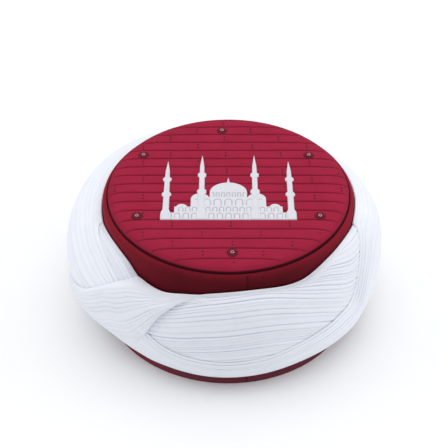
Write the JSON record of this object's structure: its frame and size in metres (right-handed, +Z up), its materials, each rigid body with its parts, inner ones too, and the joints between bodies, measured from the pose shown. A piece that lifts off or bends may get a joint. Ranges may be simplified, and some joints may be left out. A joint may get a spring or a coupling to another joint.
{
  "type": "turban",
  "caption": "Stiff round cap with a domed quilted crown and embroidery, wound in crossing passes of white pleated cloth, open below.",
  "frame": {"origin": "middle of the base of the whole object's box, on the surface that the rim rests on", "axes": "+Z up along the cap's axis, the front with the broad pleated panel faces -Y, +X is on the viewer's right"},
  "size_m": [0.236, 0.2268, 0.1094],
  "materials": {
    "cap_wall_cloth": "matt twill",
    "crown_cloth": "matt quilted twill",
    "embroidery_thread": "satin stitch",
    "wrap_cloth": "fine pleated muslin",
    "eyelet_metal": "satin metal"
  },
  "bodies": {
    "root": {"cap_wall": "cap_wall_cloth", "crown_panel": "crown_cloth", "mosque_embroidery": "embroidery_thread", "wrap_inner": "wrap_cloth", "wrap_outer": "wrap_cloth", "wrap_cross": "wrap_cloth", "eyelet_1": "eyelet_metal", "eyelet_2": "eyelet_metal", "eyelet_3": "eyelet_metal", "eyelet_4": "eyelet_metal", "eyelet_5": "eyelet_metal", "eyelet_6": "eyelet_metal"}
  },
  "joints": []
}
